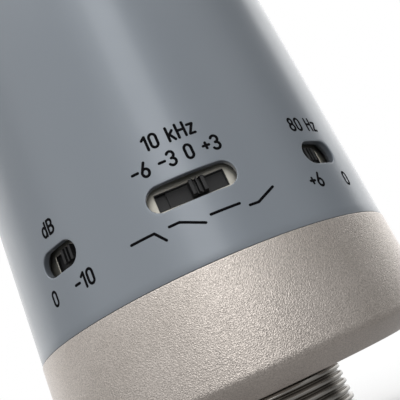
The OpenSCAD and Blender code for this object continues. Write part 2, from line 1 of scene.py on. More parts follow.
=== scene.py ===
import math
import bmesh
import bpy
import numpy as np
from mathutils import Matrix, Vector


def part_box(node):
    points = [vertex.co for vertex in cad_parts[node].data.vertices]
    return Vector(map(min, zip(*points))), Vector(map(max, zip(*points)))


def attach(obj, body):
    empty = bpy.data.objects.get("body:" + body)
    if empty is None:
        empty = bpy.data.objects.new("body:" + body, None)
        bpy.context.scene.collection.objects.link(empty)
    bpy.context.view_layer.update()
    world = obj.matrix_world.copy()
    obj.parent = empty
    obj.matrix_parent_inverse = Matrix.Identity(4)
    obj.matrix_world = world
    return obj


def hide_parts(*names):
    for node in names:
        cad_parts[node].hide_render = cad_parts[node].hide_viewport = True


# A side-address studio microphone that stands on its threaded collar, seen from behind, where its
# three slide switches are. Angles round the tube are counted from the switch side, +Y, towards
# -X, and lengths are in metres.
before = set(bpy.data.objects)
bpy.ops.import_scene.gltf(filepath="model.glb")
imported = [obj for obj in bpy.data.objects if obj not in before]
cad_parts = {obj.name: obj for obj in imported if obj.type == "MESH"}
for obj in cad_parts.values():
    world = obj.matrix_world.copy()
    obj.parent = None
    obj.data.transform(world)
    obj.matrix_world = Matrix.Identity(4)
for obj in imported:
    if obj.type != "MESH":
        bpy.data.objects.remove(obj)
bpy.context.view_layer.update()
MM = 0.001

# The camera looks at the lower back of the tube from close by and a little from below, and is
# rolled, so that the tube leans across the picture.
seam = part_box("body_tube")[0].z
camera_away = 100.26 * MM
camera_turn = math.radians(84.8)
camera_height = seam - 14.04 * MM
look_turn = math.radians(172.27)
look_up = math.radians(107.91)
look_roll = math.radians(-24.84)
camera_data = bpy.data.cameras.new("camera")
camera_data.lens = 50
camera_data.sensor_width = 36
camera_data.clip_start = 0.005
camera = bpy.data.objects.new("camera", camera_data)
bpy.context.scene.collection.objects.link(camera)
bpy.context.scene.camera = camera
look = Matrix.Rotation(look_turn, 4, "Z") @ Matrix.Rotation(look_up, 4, "X")
look = look @ Matrix.Rotation(look_roll, 4, "Z")
stand_at = (camera_away * math.cos(camera_turn), camera_away * math.sin(camera_turn), camera_height)
camera.matrix_world = Matrix.Translation(stand_at) @ look


# The body is a drawn metal tube, sprayed blue-grey and baked to a satin gloss. Three slots are
# milled through its back, opened out on the inside, and the paint rounds over their edges.
def grid(points, wrap_rows=False, wrap_columns=False, flip=False):
    """A grid of points, shaped rows x columns x 3, and the quads that join neighbours in it."""
    rows, columns = points.shape[:2]
    number = np.arange(rows * columns).reshape(rows, columns)
    if wrap_rows:
        number = np.vstack([number, number[:1]])
    if wrap_columns:
        number = np.hstack([number, number[:, :1]])
    quads = np.stack([number[:-1, :-1], number[:-1, 1:], number[1:, 1:], number[1:, :-1]], -1)
    quads = quads.reshape(-1, 4)
    return points.reshape(-1, 3), quads[:, ::-1] if flip else quads


def build(name, grids, material, crease=32, body="microphone", stands_for=()):
    """One closed piece from grids whose shared edges are merged, smooth up to the crease angle in
    degrees. It rides on a body, and may take a finish's slot and stand for CAD nodes."""
    starts = np.cumsum([0] + [len(g[0]) for g in grids[:-1]])
    points = np.vstack([g[0] for g in grids])
    quads = np.vstack([g[1] + start for g, start in zip(grids, starts)])
    mesh = bpy.data.meshes.new(name)
    mesh.from_pydata(points, [], quads)
    shape = bmesh.new()
    shape.from_mesh(mesh)
    bmesh.ops.remove_doubles(shape, verts=shape.verts, dist=1e-6)
    bmesh.ops.dissolve_degenerate(shape, edges=shape.edges, dist=1e-7)
    shape.to_mesh(mesh)
    shape.free()
    mesh.shade_smooth()
    mesh.set_sharp_from_angle(angle=math.radians(crease))
    mesh.materials.append(material)
    piece = bpy.data.objects.new(name, mesh)
    bpy.context.scene.collection.objects.link(piece)
    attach(piece, body)
    if stands_for:
        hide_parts(*stands_for)
    return piece


def around(low_u, high_u, low_v, high_v, along, up):
    """Points round a rectangle in u and v, anticlockwise from its lower left corner."""
    u, v = np.linspace(low_u, high_u, along + 1), np.linspace(low_v, high_v, up + 1)
    ring_u = np.concatenate([u[:-1], np.full(up, high_u), u[:0:-1], np.full(up, low_u)])
    ring_v = np.concatenate([np.full(along, low_v), v[:-1], np.full(along, high_v), v[:0:-1]])
    return np.stack([ring_u, ring_v], -1)


def stadium(half_length, half_height, along, up):
    """As many points round a round-ended slot, each opposite its point on the rectangle: the slot's
    four quarters start where its end circles stand at 45 degrees."""
    middle = half_length - half_height
    quarter = math.pi / 4 * half_height
    side = middle * 2 + quarter * 2
    s = np.linspace(0, side, along + 1)[:-1]
    last_turn = np.where(s > side - quarter, (s - side + quarter) / half_height, 0) - math.pi / 2
    turn = np.where(s < quarter, -3 * math.pi / 4 + s / half_height, last_turn)
    shift = np.clip(s - quarter - middle, -middle, middle)
    bottom = np.stack([shift + half_height * np.cos(turn), half_height * np.sin(turn)], -1)
    turn = np.linspace(-math.pi / 4, math.pi / 4, up + 1)[:-1]
    end = np.stack([middle + half_height * np.cos(turn), half_height * np.sin(turn)], -1)
    return np.vstack([bottom, end, -bottom, -end])


def principled(name, colour, roughness, metallic=0.0):
    """A material with its shader, and the node tree to add its pattern to."""
    material = bpy.data.materials.new(name)
    material.use_nodes = True
    shader = material.node_tree.nodes["Principled BSDF"]
    shader.inputs["Base Color"].default_value = (*colour, 1)
    shader.inputs["Roughness"].default_value = roughness
    shader.inputs["Metallic"].default_value = metallic
    return material, material.node_tree, shader


def noise(tree, size, detail, stretch=(1, 1, 1), kind="ShaderNodeTexNoise"):
    """A pattern on Object coordinates whose features are about size across."""
    coordinates = tree.nodes.new("ShaderNodeTexCoord")
    mapping = tree.nodes.new("ShaderNodeMapping")
    mapping.inputs["Scale"].default_value = stretch
    pattern = tree.nodes.new(kind)
    pattern.inputs["Scale"].default_value = 1 / size
    if kind == "ShaderNodeTexNoise":
        pattern.inputs["Detail"].default_value = detail
    tree.links.new(coordinates.outputs["Object"], mapping.inputs["Vector"])
    tree.links.new(mapping.outputs["Vector"], pattern.inputs["Vector"])
    return pattern


def spread(tree, source, low, high, socket, from_low=0.3, from_high=0.7):
    """Carries a pattern to a socket, with the stretch of it between from_low and from_high laid
    over low to high, and nothing outside them."""
    ramp = tree.nodes.new("ShaderNodeMapRange")
    ramp.inputs["From Min"].default_value = from_low
    ramp.inputs["From Max"].default_value = from_high
    ramp.inputs["To Min"].default_value = low
    ramp.inputs["To Max"].default_value = high
    tree.links.new(source, ramp.inputs["Value"])
    tree.links.new(ramp.outputs["Result"], socket)


def tint(tree, source, dark, light, socket):
    """Carries a pattern to a colour socket, as a mix of two colours."""
    ramp = tree.nodes.new("ShaderNodeValToRGB")
    for end, position, colour in zip(ramp.color_ramp.elements, (0.3, 0.7), (dark, light)):
        end.position = position
        end.color = (*colour, 1)
    tree.links.new(source, ramp.inputs["Fac"])
    tree.links.new(ramp.outputs["Color"], socket)


def bump(tree, shader, source, height, strength=1.0, under=None):
    """Raises the surface by a pattern, over another bump if there is one."""
    node = tree.nodes.new("ShaderNodeBump")
    node.inputs["Strength"].default_value = strength
    node.inputs["Distance"].default_value = height
    tree.links.new(source, node.inputs["Height"])
    if under:
        tree.links.new(under.outputs["Normal"], node.inputs["Normal"])
    tree.links.new(node.outputs["Normal"], shader.inputs["Normal"])
    return node


def by_radius(tree, low, high, socket, from_value, to_value):
    """Carries to a socket a number that changes from one value to another between two distances from
    the tube's axis."""
    coordinates = tree.nodes.new("ShaderNodeTexCoord")
    flat = tree.nodes.new("ShaderNodeVectorMath")
    flat.operation = "MULTIPLY"
    flat.inputs[1].default_value = (1, 1, 0)
    distance = tree.nodes.new("ShaderNodeVectorMath")
    distance.operation = "LENGTH"
    tree.links.new(coordinates.outputs["Object"], flat.inputs[0])
    tree.links.new(flat.outputs["Vector"], distance.inputs[0])
    spread(tree, distance.outputs["Value"], from_value, to_value, socket, low, high)


tube_low, tube_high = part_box("body_tube")
tube_r = tube_high.x
enamel_dark = (0.252, 0.284, 0.322)
enamel_light = (0.268, 0.299, 0.336)
enamel, tree, shader = principled("grey_enamel", enamel_light, 0.36, 0.25)
shader.inputs["Coat Weight"].default_value = 0.6
shader.inputs["Coat Roughness"].default_value = 0.08
cloud = noise(tree, 26 * MM, 3)
# Inside the slots the paint turns darker towards the bore: a painted shade on the slot walls.
slot_wall_shade = tree.nodes.new("ShaderNodeMixRGB")
slot_wall_shade.inputs["Color1"].default_value = (0.19, 0.21, 0.24, 1)
tint(tree, cloud.outputs["Fac"], enamel_dark, enamel_light, slot_wall_shade.inputs["Color2"])
tree.links.new(slot_wall_shade.outputs["Color"], shader.inputs["Base Color"])
spread(tree, noise(tree, 7 * MM, 2).outputs["Fac"], 0.33, 0.39, shader.inputs["Roughness"])
bump(tree, shader, noise(tree, 0.9 * MM, 2).outputs["Fac"], 0.004 * MM, 0.35)
by_radius(tree, tube_r - 0.35 * MM, tube_r - 0.08 * MM, slot_wall_shade.inputs["Fac"], 0, 1)

tube_wall = 1.6 * MM
tube_bore = tube_r - tube_wall
end_bevel = 0.12 * MM
slot_height = 3.85 * MM
slot_z = seam + 10.5 * MM
switch_turn = math.radians(40)
# Each slot has its angle, its length, and half the angle in degrees of the patch of faces round it.
slots = [(-switch_turn, 7.3 * MM, 9), (0.0, 12.8 * MM, 15), (switch_turn, 7.3 * MM, 9)]
patch_rise = 4.2 * MM
patch_up = 14
face_length = 0.28 * MM
edge_round = 0.14 * MM
wall_depth = 0.95 * MM
flare = 0.6 * MM


def on_tube(turn, z, radius):
    """The point at an angle round the tube and a height on it, for whole arrays at once."""
    turn, z, radius = np.broadcast_arrays(turn, z, radius)
    return np.stack([-radius * np.sin(turn), radius * np.cos(turn), z], -1)


def slot_outline(slot, grow, radius):
    """The slot's outline, grown all round, as angles round a tube of a radius and heights on it."""
    turn, length, _ = slot
    along = int(length / face_length)
    loop = stadium(length / 2 + grow, slot_height / 2 + grow, along, patch_up)
    return np.stack([turn + np.arcsin(loop[:, 0] / radius), slot_z + loop[:, 1]], -1)


def tube_skin(radius, grow, flip):
    """The tube's outside or inside, with a patch round each slot that blends from its outline to a
    rectangle, and plain sheets between. The angles of the sheets' columns come with it."""
    sheets, bounds = [], []
    for slot in slots:
        turn, length, half_patch = slot
        half_patch = math.radians(half_patch)
        inner = slot_outline(slot, grow, radius)
        along = int(length / face_length)
        sides = (turn - half_patch, turn + half_patch)
        outer = around(*sides, slot_z - patch_rise, slot_z + patch_rise, along, patch_up)
        blend = np.linspace(0, 1, 8)[:, None, None]
        patch = inner * (1 - blend) + outer * blend
        sheets.append(grid(on_tube(patch[..., 0], patch[..., 1], radius), wrap_columns=True, flip=not flip))
        bounds.append(np.linspace(*sides, along + 1))
    gaps = [np.linspace(bounds[i][-1], bounds[i + 1][0], 13) for i in range(2)]
    back = np.linspace(bounds[2][-1], bounds[0][0] + 2 * math.pi, 200)
    turns = np.concatenate([bounds[0], gaps[0][1:-1], bounds[1], gaps[1][1:-1], bounds[2], back[1:-1]])
    low = tube_low.z + end_bevel
    high = tube_high.z - end_bevel
    for z in (np.linspace(low, slot_z - patch_rise, 6), np.linspace(slot_z + patch_rise, high, 30)):
        sheets.append(grid(on_tube(turns[None], z[:, None], radius), wrap_columns=True, flip=flip))
    beside = np.linspace(slot_z - patch_rise, slot_z + patch_rise, patch_up + 1)
    for part in (*gaps, back):
        sheets.append(grid(on_tube(part[None], beside[:, None], radius), flip=flip))
    return sheets, turns


outside, turns = tube_skin(tube_r, edge_round, False)
inside = tube_skin(tube_bore, flare, True)[0]
walls = []
for slot in slots:
    round_over = np.radians(np.linspace(0, 90, 5))
    grow = edge_round * (1 - np.sin(round_over))
    depth = edge_round * (1 - np.cos(round_over))
    rows = [on_tube(*slot_outline(slot, g, tube_r - d).T, tube_r - d) for g, d in zip(grow, depth)]
    straight = np.linspace(tube_r - 2 * edge_round, tube_r - wall_depth, 3)
    rows += [on_tube(*slot_outline(slot, 0, r).T, r) for r in straight]
    rows.append(on_tube(*slot_outline(slot, flare, tube_bore).T, tube_bore))
    walls.append(grid(np.array(rows), wrap_columns=True))
ends = []
for z, inward in ((tube_low.z, 1), (tube_high.z, -1)):
    rim = [(tube_r, z + inward * end_bevel), (tube_r - 0.04 * MM, z + inward * 0.03 * MM),
           (tube_r - 0.14 * MM, z), (tube_bore + 0.1 * MM, z), (tube_bore, z + inward * end_bevel)]
    rows = [on_tube(turns, height, radius) for radius, height in rim]
    ends.append(grid(np.array(rows), wrap_columns=True, flip=inward > 0))
build("painted_tube", outside + inside + walls + ends, enamel, stands_for=["body_tube"])


# The base is a cast ring, its side grained like fine leather and nickel plated, with a smooth
# slanted underside. Three screws in its floor, sunk in counterbores, hold it to the chassis.
def rounded(corners):
    """An outline through corners (radius from the axis, height, size of rounding), with an arc-like
    curve at each: the quadratic curve that leaves and meets the edges a rounding away."""
    points = []
    for i, (r, z, size) in enumerate(corners):
        here = np.array([r, z])
        before = np.array(corners[i - 1][:2])
        after = np.array(corners[(i + 1) % len(corners)][:2])
        if size == 0:
            points.append(here)
            continue
        a = here + (before - here) / np.linalg.norm(before - here) * size
        b = here + (after - here) / np.linalg.norm(after - here) * size
        t = np.linspace(0, 1, 6)[:, None]
        points += list(a * (1 - t) ** 2 + 2 * here * t * (1 - t) + b * t ** 2)
    return np.array(points)


def turned(outline, turns=256, closed=True):
    """The surface that an outline sweeps round the tube's axis, in a number of even steps or at given
    angles. An outline that runs anticlockwise, with the radius to the right, faces outwards."""
    if isinstance(turns, int):
        turns = np.linspace(0, 2 * math.pi, turns, endpoint=False)
    points = on_tube(turns[None], outline[:, 1][:, None], outline[:, 0][:, None])
    return grid(points, wrap_rows=closed, wrap_columns=True)


def by_height(tree, low, high, socket, from_value, to_value):
    """Carries to a socket a number that changes from one value to another between two heights."""
    coordinates = tree.nodes.new("ShaderNodeTexCoord")
    split = tree.nodes.new("ShaderNodeSeparateXYZ")
    tree.links.new(coordinates.outputs["Object"], split.inputs["Vector"])
    spread(tree, split.outputs["Z"], from_value, to_value, socket, low, high)


def nickel(name, dark, light, roughness, grain=None, depth=0.0, smooth_shaded_below=None, root_shade=None):
    """Warm nickel plate over a wrinkled grain or a plain surface. On a grain the hollows are darker and
    the crests lighter: painted shade and painted highlight. Below a height it can be smoother, as where
    a casting was machined, and darker, a painted shade on a face that looks down. It can also darken
    towards the inner of two radii, a painted shade in a thread's roots."""
    material, tree, shader = principled(name, light, roughness, 1.0)
    # This multiplier darkens the colour towards a thread's roots or below a height: painted shade.
    shade = tree.nodes.new("ShaderNodeMixRGB")
    shade.blend_type = "MULTIPLY"
    shade.inputs["Fac"].default_value = 0
    shade.inputs["Color2"].default_value = (0.36, 0.345, 0.325, 1) if root_shade else (0.92, 0.90, 0.89, 1)
    if root_shade:
        by_radius(tree, *root_shade, shade.inputs["Fac"], 1.0, 0.0)
    tint(tree, noise(tree, 9 * MM, 3).outputs["Fac"], dark, light, shade.inputs["Color1"])
    tree.links.new(shade.outputs["Color"], shader.inputs["Base Color"])
    fine = bump(tree, shader, noise(tree, 0.12 * MM, 2).outputs["Fac"], 0.006 * MM, 0.3)
    if grain:
        wrinkle = noise(tree, grain, 1.5)
        wrinkle.inputs["Distortion"].default_value = 0.4
        grained = bump(tree, shader, wrinkle.outputs["Fac"], depth, 1.0, under=fine)
        # The grain's hollows are darker and its crests lighter: painted shade and painted highlight.
        grain_shade = tree.nodes.new("ShaderNodeMixRGB")
        grain_shade.blend_type = "MULTIPLY"
        grain_shade.inputs["Fac"].default_value = 1
        tree.links.new(shade.outputs["Color"], grain_shade.inputs["Color1"])
        shade_low, shade_high = (0.78, 0.78, 0.78), (1.22, 1.22, 1.22)
        tint(tree, wrinkle.outputs["Fac"], shade_low, shade_high, grain_shade.inputs["Color2"])
        tree.links.new(grain_shade.outputs["Color"], shader.inputs["Base Color"])
        if smooth_shaded_below:
            low, high = smooth_shaded_below - 0.4 * MM, smooth_shaded_below + 0.6 * MM
            by_height(tree, low, high, grained.inputs["Strength"], 0.6, 1.0)
            by_height(tree, low, high, shade.inputs["Fac"], 1.0, 0.0)
    return material


base_low, base_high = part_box("base_ring")
base_r = base_high.x
underside = base_low.z
slant_top = underside + 2.6 * MM
flat_r = 26.3 * MM
neck_r = 13.8 * MM
lip_top = base_high.z
lip_r = tube_bore - 0.1 * MM
cup_r = tube_bore - 2.2 * MM
floor_top = underside + 5 * MM
grain_size = 0.17 * MM
grain_depth = 0.09 * MM
cast_dark = (0.63, 0.572, 0.522)
cast_light = (0.70, 0.638, 0.588)
cast_rough = 0.31
# Below the slant's top the nickel is smoother and a little darker; the darkening is a painted shade on the
# underside, which faces down.
base_nickel = nickel("base_nickel", cast_dark, cast_light, cast_rough, grain_size, grain_depth, slant_top)
side_top = seam - 0.04 * MM
side_outline = rounded([
    (flat_r, underside, 0.3 * MM), (base_r, slant_top, 0.9 * MM), (base_r, side_top, 0.2 * MM),
    (lip_r, side_top, 0), (lip_r, lip_top, 0.2 * MM), (cup_r, lip_top, 0.2 * MM),
    (cup_r, floor_top, 0.5 * MM), (neck_r, floor_top, 0), (neck_r, underside, 0.2 * MM)])
base_screw_r = 22.3 * MM
base_screw_turns = [math.radians(a) for a in (60, 180, 300)]
sunk_r = 3.1 * MM
sunk_edge = 0.15 * MM
sunk_top = underside + 2 * MM
half_patch = math.radians(10)
next_patch = math.radians(110)
patch_steps = 12
gap_steps = 70
patch_in, patch_out = base_screw_r - 3.9 * MM, base_screw_r + 3.6 * MM


def screw_circle(turn, aim, radius, z):
    """Points round a base screw, at a radius from it and the angles that aim gives."""
    across, out = radius * np.cos(aim), base_screw_r + radius * np.sin(aim)
    return on_tube(turn + np.arctan2(across, out), z, np.hypot(across, out))


base_turns = np.concatenate([
    np.concatenate([np.linspace(a - half_patch, a + half_patch, patch_steps + 1)[:-1],
                    np.linspace(a + half_patch, a + next_patch, gap_steps + 1)[:-1]])
    for a in base_screw_turns])
base_sheets = [turned(side_outline, base_turns, closed=False)]
for low, high in ((neck_r + 0.2 * MM, patch_in), (patch_out, flat_r - 0.3 * MM)):
    flat = np.array([(low, underside), (high, underside)])
    base_sheets.append(turned(flat, base_turns, closed=False))
for turn in base_screw_turns:
    between = np.linspace(turn + half_patch, turn + next_patch, gap_steps + 1)
    outward = np.linspace(patch_in, patch_out, 7)[:, None]
    base_sheets.append(grid(on_tube(between[None], underside, outward)))
    edge = around(turn - half_patch, turn + half_patch, patch_in, patch_out, patch_steps, 6)
    aim = np.arctan2(edge[:, 1] - base_screw_r, (edge[:, 0] - turn) * base_screw_r)
    outer = on_tube(edge[:, 0], underside, edge[:, 1])
    inner = screw_circle(turn, aim, sunk_r + sunk_edge, underside)
    blend = np.linspace(0, 1, 4)[:, None, None]
    base_sheets.append(grid(inner * (1 - blend) + outer * blend, wrap_columns=True, flip=True))
    well = [(sunk_r + sunk_edge, underside), (sunk_r, underside + sunk_edge), (sunk_r, sunk_top),
            (0, sunk_top)]
    rows = [screw_circle(turn, aim, radius, z) for radius, z in well]
    base_sheets.append(grid(np.array(rows), wrap_columns=True))
build("cast_base", base_sheets, base_nickel, stands_for=["base_ring"])

# The markings are screen printed round the switches in black ink: a scale for each switch, and a
# small frequency curve for each of the four places of the middle one.
ink_dark = (0.003, 0.003, 0.004)
ink_light = (0.006, 0.006, 0.007)
ink, tree, shader = principled("black_ink", ink_light, 0.75)
shader.inputs["Specular IOR Level"].default_value = 0.05
tint(tree, noise(tree, 1.2 * MM, 2).outputs["Fac"], ink_dark, ink_light, shader.inputs["Base Color"])
bump(tree, shader, noise(tree, 0.2 * MM, 2).outputs["Fac"], 0.003 * MM, 0.4)
ink_proud = 0.02 * MM
cap_height = 2.05 * MM
stroke_half = 0.2 * MM


def line(*corners):
    """Straight strokes from each corner to the next."""
    return [np.linspace(a, b, 7) for a, b in zip(corners[:-1], corners[1:])]


def arc(x, z, half_x, half_z, start, end):
    """One curved stroke, along an ellipse between two angles in degrees."""
    turn = np.radians(np.linspace(start, end, 25))
    return [np.stack([x + half_x * np.cos(turn), z + half_z * np.sin(turn)], -1)]


# Each sign is its width and its strokes, on a cap height of 1. Where two strokes meet, one is set a
# little off the other's end or middle, so that their edges stay apart.
signs = {
    "0": (0.46, arc(0.23, 0.74, 0.23, 0.26, 0, 180) + arc(0.23, 0.26, 0.23, 0.26, 180, 360)
          + line((0, 0.26), (0, 0.74)) + line((0.46, 0.26), (0.46, 0.74))),
    "1": (0.26, line((0, 0.80), (0.24, 1), (0.24, 0))),
    "3": (0.44, arc(0.20, 0.75, 0.23, 0.25, -90, 150) + arc(0.20, 0.25, 0.25, 0.25, -150, 90)),
    "6": (0.48, arc(0.24, 0.28, 0.24, 0.28, 0, 360) + line((0.03, 0.40), (0.32, 1))),
    "8": (0.48, arc(0.24, 0.76, 0.20, 0.24, 0, 360) + arc(0.24, 0.27, 0.24, 0.27, 0, 360)),
    "+": (0.42, line((0, 0.48), (0.42, 0.48)) + line((0.21, 0.27), (0.21, 0.69))),
    "-": (0.40, line((0, 0.48), (0.40, 0.48))),
    "k": (0.40, line((0, 0), (0, 1)) + line((0, 0.32), (0.36, 0.70)) + line((0.13, 0.45), (0.40, 0))),
    "H": (0.50, line((0, 0), (0, 1)) + line((0.50, 0), (0.50, 1)) + line((0, 0.52), (0.50, 0.52))),
    "z": (0.36, line((0, 0.70), (0.36, 0.70), (0, 0), (0.36, 0))),
    "d": (0.42, arc(0.21, 0.35, 0.21, 0.35, 0, 360) + line((0.42, 0), (0.42, 1))),
    "B": (0.48, line((0.24, 0), (0.01, 0)) + line((0, 0), (0, 1)) + line((0.01, 1), (0.24, 1))
          + line((0, 0.53), (0.24, 0.53)) + arc(0.22, 0.765, 0.22, 0.235, -90, 90)
          + arc(0.22, 0.265, 0.26, 0.265, -90, 90)),
    " ": (0.24, [])}
sign_gap = 0.27


def brushed(path, half_width, surface=tube_r):
    """A flat stroke of ink on the tube or another surface bent to it: a low rounded section carried
    along a path of angles (as lengths round the tube) and heights. An open path is drawn in to a
    point round a half circle at both ends, and one that ends where it starts is closed."""
    closed = np.allclose(path[0], path[-1], atol=1e-9)
    spine = path[:-1] if closed else path
    along = np.roll(spine, -1, 0) - np.roll(spine, 1, 0) if closed else np.gradient(spine, axis=0)
    along /= np.linalg.norm(along, axis=1)[:, None]
    width = np.full(len(spine), half_width)
    if not closed:
        end_steps = 6
        round_end = np.radians(np.linspace(90, 0, end_steps))[:, None]
        start = path[:1] - along[:1] * np.sin(round_end) * half_width
        end = path[-1:] + along[-1:] * np.sin(round_end[::-1]) * half_width
        spine = np.vstack([start, path, end])
        along = np.vstack([np.repeat(along[:1], end_steps, 0), along, np.repeat(along[-1:], end_steps, 0)])
        taper = np.cos(round_end[:, 0]) * half_width
        width = np.concatenate([taper, width, taper[::-1]])
    beside = np.stack([along[:, 1], -along[:, 0]], -1)
    section = np.array([(1, -1), (1, 0.6), (0.85, 1), (-0.85, 1), (-1, 0.6), (-1, -1)])
    flat = spine[:, None] + beside[:, None] * width[:, None, None] * section[None, :, :1]
    radius = surface + ink_proud * section[None, :, 1]
    points = on_tube(flat[..., 0] / tube_r, flat[..., 1], radius)
    return grid(points, wrap_rows=closed, wrap_columns=True, flip=True)


def printed(text, turn, above_seam):
    """The strokes of a line of signs, centred on an angle round the tube, in degrees, and a height."""
    widths = [signs[sign][0] for sign in text]
    x = -(sum(widths) + sign_gap * (len(text) - 1)) / 2
    strokes = []
    for sign, width in zip(text, widths):
        for path in signs[sign][1]:
            at = (path + (x, -0.5)) * cap_height
            strokes.append(brushed(at + (math.radians(turn) * tube_r, seam + above_seam), stroke_half))
        x += width + sign_gap
    return strokes


# Each line of signs has its angle in degrees and its height above the seam in millimetres, and each
# curve has its angle and its corners.
texts = [("10 kHz", -0.2, 18.55), ("-6 -3 0 +3", -0.7, 15.16), ("dB", -40.0, 15.4), ("0", -46.2, 6.0),
         ("-10", -34.2, 5.8), ("80 Hz", 39.4, 15.4), ("+6", 32.6, 6.0), ("0", 46.4, 5.8)]
curves = [(-14.6, line((-2.35, 0.75), (1.05, 0.75), (2.2, -0.75))),
          (-4.8, line((-2.25, 0.7), (-0.8, 0.7), (2.3, -0.75))),
          (4.9, line((-2.05, 0), (2.05, 0))),
          (14.7, line((-2.15, -0.7), (-0.85, -0.7), (2.1, 0.75)))]
curve_z = seam + 5.8 * MM
curve_half = 0.19 * MM
marks = []
for text, turn, above_seam in texts:
    marks += printed(text, turn, above_seam * MM)
for turn, strokes in curves:
    for path in strokes:
        marks.append(brushed(path * MM + (math.radians(turn) * tube_r, curve_z), curve_half))
build("printed_marks", marks, ink)


# The stand collar is turned from bar and nickel plated, with a real thread cut round its outside.
# It passes through the base ring, and its bore is the socket for the cable's connector.
pitch = 1.25 * MM
crest_r = 14 * MM
root_r = 13.4 * MM
# Its nickel is painted darker than the base's, a painted shade for a part under the base, and darker still
# towards the thread's roots, a painted shade in the thread's hollows.
shaded_turned_nickel = nickel("shaded_turned_nickel", (0.34, 0.325, 0.30), (0.42, 0.40, 0.375), 0.20,
                       root_shade=(root_r, crest_r - 0.1 * MM))
top_crest = underside - 2.24 * MM
thread_low = 0.9 * MM
thread_high = underside - 0.42 * MM


def thread():
    """A ribbon that winds up the collar. Across each pitch it has a flat crest with bevelled edges,
    steep flanks and a flat root. It fades to the root near both ends, where its height is held."""
    columns = 128
    turns_up = math.ceil((thread_high - thread_low) / pitch) + 1
    along = np.arange((turns_up + 2) * columns + 1)[:, None] / columns
    away = np.array([1, 0.9, 0.8, 0.44, 0.36, 0])
    tall = np.array([0, 0, 0.06, 0.94, 1, 1])
    across = np.concatenate([(1 - away) / 2, (1 + away[-2::-1]) / 2])[None]
    rise = np.concatenate([tall, tall[-2::-1]])[None]
    start = top_crest - turns_up * pitch
    height = start + (along + across - 0.5) * pitch
    fade_length = 0.35 * pitch
    fade = np.clip(np.minimum(height - thread_low, thread_high - height) / fade_length, 0, 1)
    radius = root_r + (crest_r - root_r) * rise * fade
    return grid(on_tube(-2 * math.pi * along, np.clip(height, thread_low, thread_high), radius))


collar_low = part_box("stand_collar")[0].z
flange_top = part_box("stand_collar")[1].z
socket_r = 9.6 * MM
flange_r = 18 * MM
waist_r = neck_r - 0.05 * MM
inside_outline = np.array([
    (root_r, thread_low), (root_r, 0.5 * MM), (root_r - 0.12 * MM, 0.3 * MM),
    (root_r - 0.5 * MM, 0.04 * MM), (root_r - 0.7 * MM, collar_low), (socket_r + 0.65 * MM, collar_low),
    (socket_r + 0.15 * MM, 0.3 * MM), (socket_r, 0.7 * MM), (socket_r, flange_top),
    (flange_r, flange_top), (flange_r, floor_top), (waist_r, floor_top),
    (waist_r, underside - 0.1 * MM), (root_r, underside - 0.3 * MM), (root_r, thread_high)])
build("threaded_collar", [thread(), turned(inside_outline[::-1], 128, closed=False)], shaded_turned_nickel, 50,
      stands_for=["stand_collar"])


# Each switch is a bought part: a nickel-plated sheet frame with a window, a black housing, and a
# black slider with a ribbed knob. They sit flat behind their slots.
def loop_of(half_x, half_z, corner, per_corner=5):
    """Points round a rectangle with round corners, anticlockwise as seen from outside the tube."""
    turn = np.linspace(0, math.pi / 2, per_corner)
    parts = []
    for i, (sx, sz) in enumerate(((1, 1), (-1, 1), (-1, -1), (1, -1))):
        angle = turn + i * math.pi / 2
        parts.append(np.stack([sx * (half_x - corner) + corner * np.cos(angle),
                               sz * (half_z - corner) + corner * np.sin(angle)], -1))
    return np.vstack(parts)


def at_switch(turn, x, y, z):
    """A point given in a switch's own frame: x along its slide, y out from the axis."""
    x, y, z = np.broadcast_arrays(x, y, z)
    cosine, sine = math.cos(turn), math.sin(turn)
    return np.stack([x * cosine - y * sine, x * sine + y * cosine, z], -1)


def capped(rows):
    """The loops of a surface, with each end drawn in to the middle of its loop."""
    first, last = (np.broadcast_to(rows[end].mean(0), rows[end].shape) for end in (0, -1))
    return [first, *rows, last]


def stacked(turn, loops, x0=0.0, z0=0.0, closed=False):
    """A surface through rectangular loops (half length, half height, corner, distance out). It is
    capped, or its last loop joins its first."""
    rows = []
    for half_x, half_z, corner, out in loops:
        loop = loop_of(half_x, half_z, corner)
        rows.append(at_switch(turn, x0 + loop[:, 0], out, switch_z + z0 + loop[:, 1]))
    return grid(np.array(rows if closed else capped(rows)), wrap_rows=closed, wrap_columns=True)


plate_dark = (0.52, 0.50, 0.44)
plate_light = (0.60, 0.58, 0.52)
switch_nickel, tree, shader = principled("switch_nickel", plate_light, 0.48, 1.0)
tint(tree, noise(tree, 2.2 * MM, 3).outputs["Fac"], plate_dark, plate_light, shader.inputs["Base Color"])
bump(tree, shader, noise(tree, 0.25 * MM, 2).outputs["Fac"], 0.004 * MM, 0.4)


def plastic(name, dark, light, roughness, grain=0.15 * MM):
    """Moulded plastic with a fine even texture."""
    material, tree, shader = principled(name, light, roughness)
    tint(tree, noise(tree, 1.5 * MM, 3).outputs["Fac"], dark, light, shader.inputs["Base Color"])
    bump(tree, shader, noise(tree, grain, 2).outputs["Fac"], 0.006 * MM, 0.4)
    return material


knob_black = plastic("knob_black", (0.013, 0.013, 0.014), (0.020, 0.020, 0.021), 0.5)
switch_z = seam + 10.7 * MM
sheet = 0.3 * MM
window_z = 1.3 * MM
frame_z = 3.5 * MM
knob_x = 1.2 * MM
knob_z = 1.1 * MM
rib_at = np.array([-0.84, 0.0, 0.84]) * MM
rib_half = np.array([0.28, 0.14, 0.28]) * MM
rib_height = 0.85 * MM
shoulder = 0.12 * MM
bevel = 0.05 * MM
lip_wall = 0.15 * MM
lip_depth = 0.4 * MM
